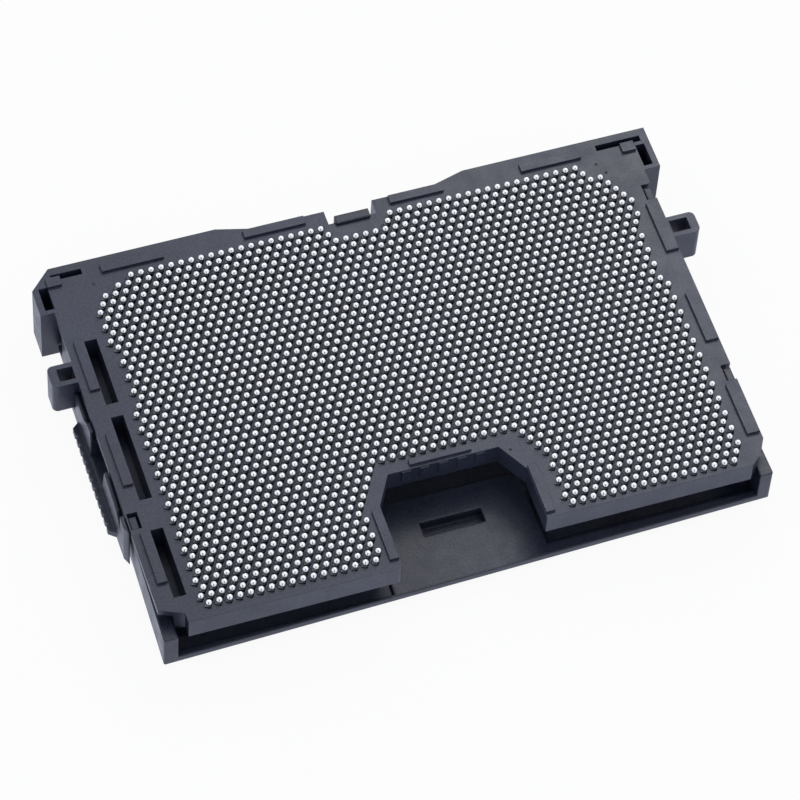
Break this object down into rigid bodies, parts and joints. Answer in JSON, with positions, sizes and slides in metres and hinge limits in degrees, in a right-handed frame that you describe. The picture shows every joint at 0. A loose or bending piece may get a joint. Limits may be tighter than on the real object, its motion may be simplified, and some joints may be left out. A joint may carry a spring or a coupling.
{
  "type": "ic socket",
  "caption": "Land-grid processor socket half, solder-ball side up: slotted black housing with a hexagonal field of solder balls, notched front edge and pick-and-place cap.",
  "frame": {"origin": "middle of the ball field, on the flat outer face of the pick-and-place cap", "axes": "+X along the rows of solder balls to the picture's right, +Y away from the notched front edge, +Z out of the solder-ball side"},
  "size_m": [0.0644, 0.0416, 0.0073],
  "materials": {
    "housing_plastic": "matt moulded, fine grain",
    "cap_plastic": "matt moulded, smooth",
    "solder": "dull silvery solder",
    "contact_metal": "thin stamped strip, plated"
  },
  "bodies": {
    "root": {"housing": "housing_plastic", "pick_and_place_cap": "cap_plastic", "solder_balls_01": "solder", "solder_balls_02": "solder", "solder_balls_03": "solder", "solder_balls_04": "solder", "solder_balls_05": "solder", "solder_balls_06": "solder", "solder_balls_07": "solder", "solder_balls_08": "solder", "solder_balls_09": "solder", "solder_balls_10": "solder", "solder_balls_11": "solder", "contact_strips_01": "contact_metal", "contact_strips_02": "contact_metal", "contact_strips_03": "contact_metal", "contact_strips_04": "contact_metal", "contact_strips_05": "contact_metal", "contact_strips_06": "contact_metal", "contact_strips_07": "contact_metal", "contact_strips_08": "contact_metal"}
  },
  "joints": []
}
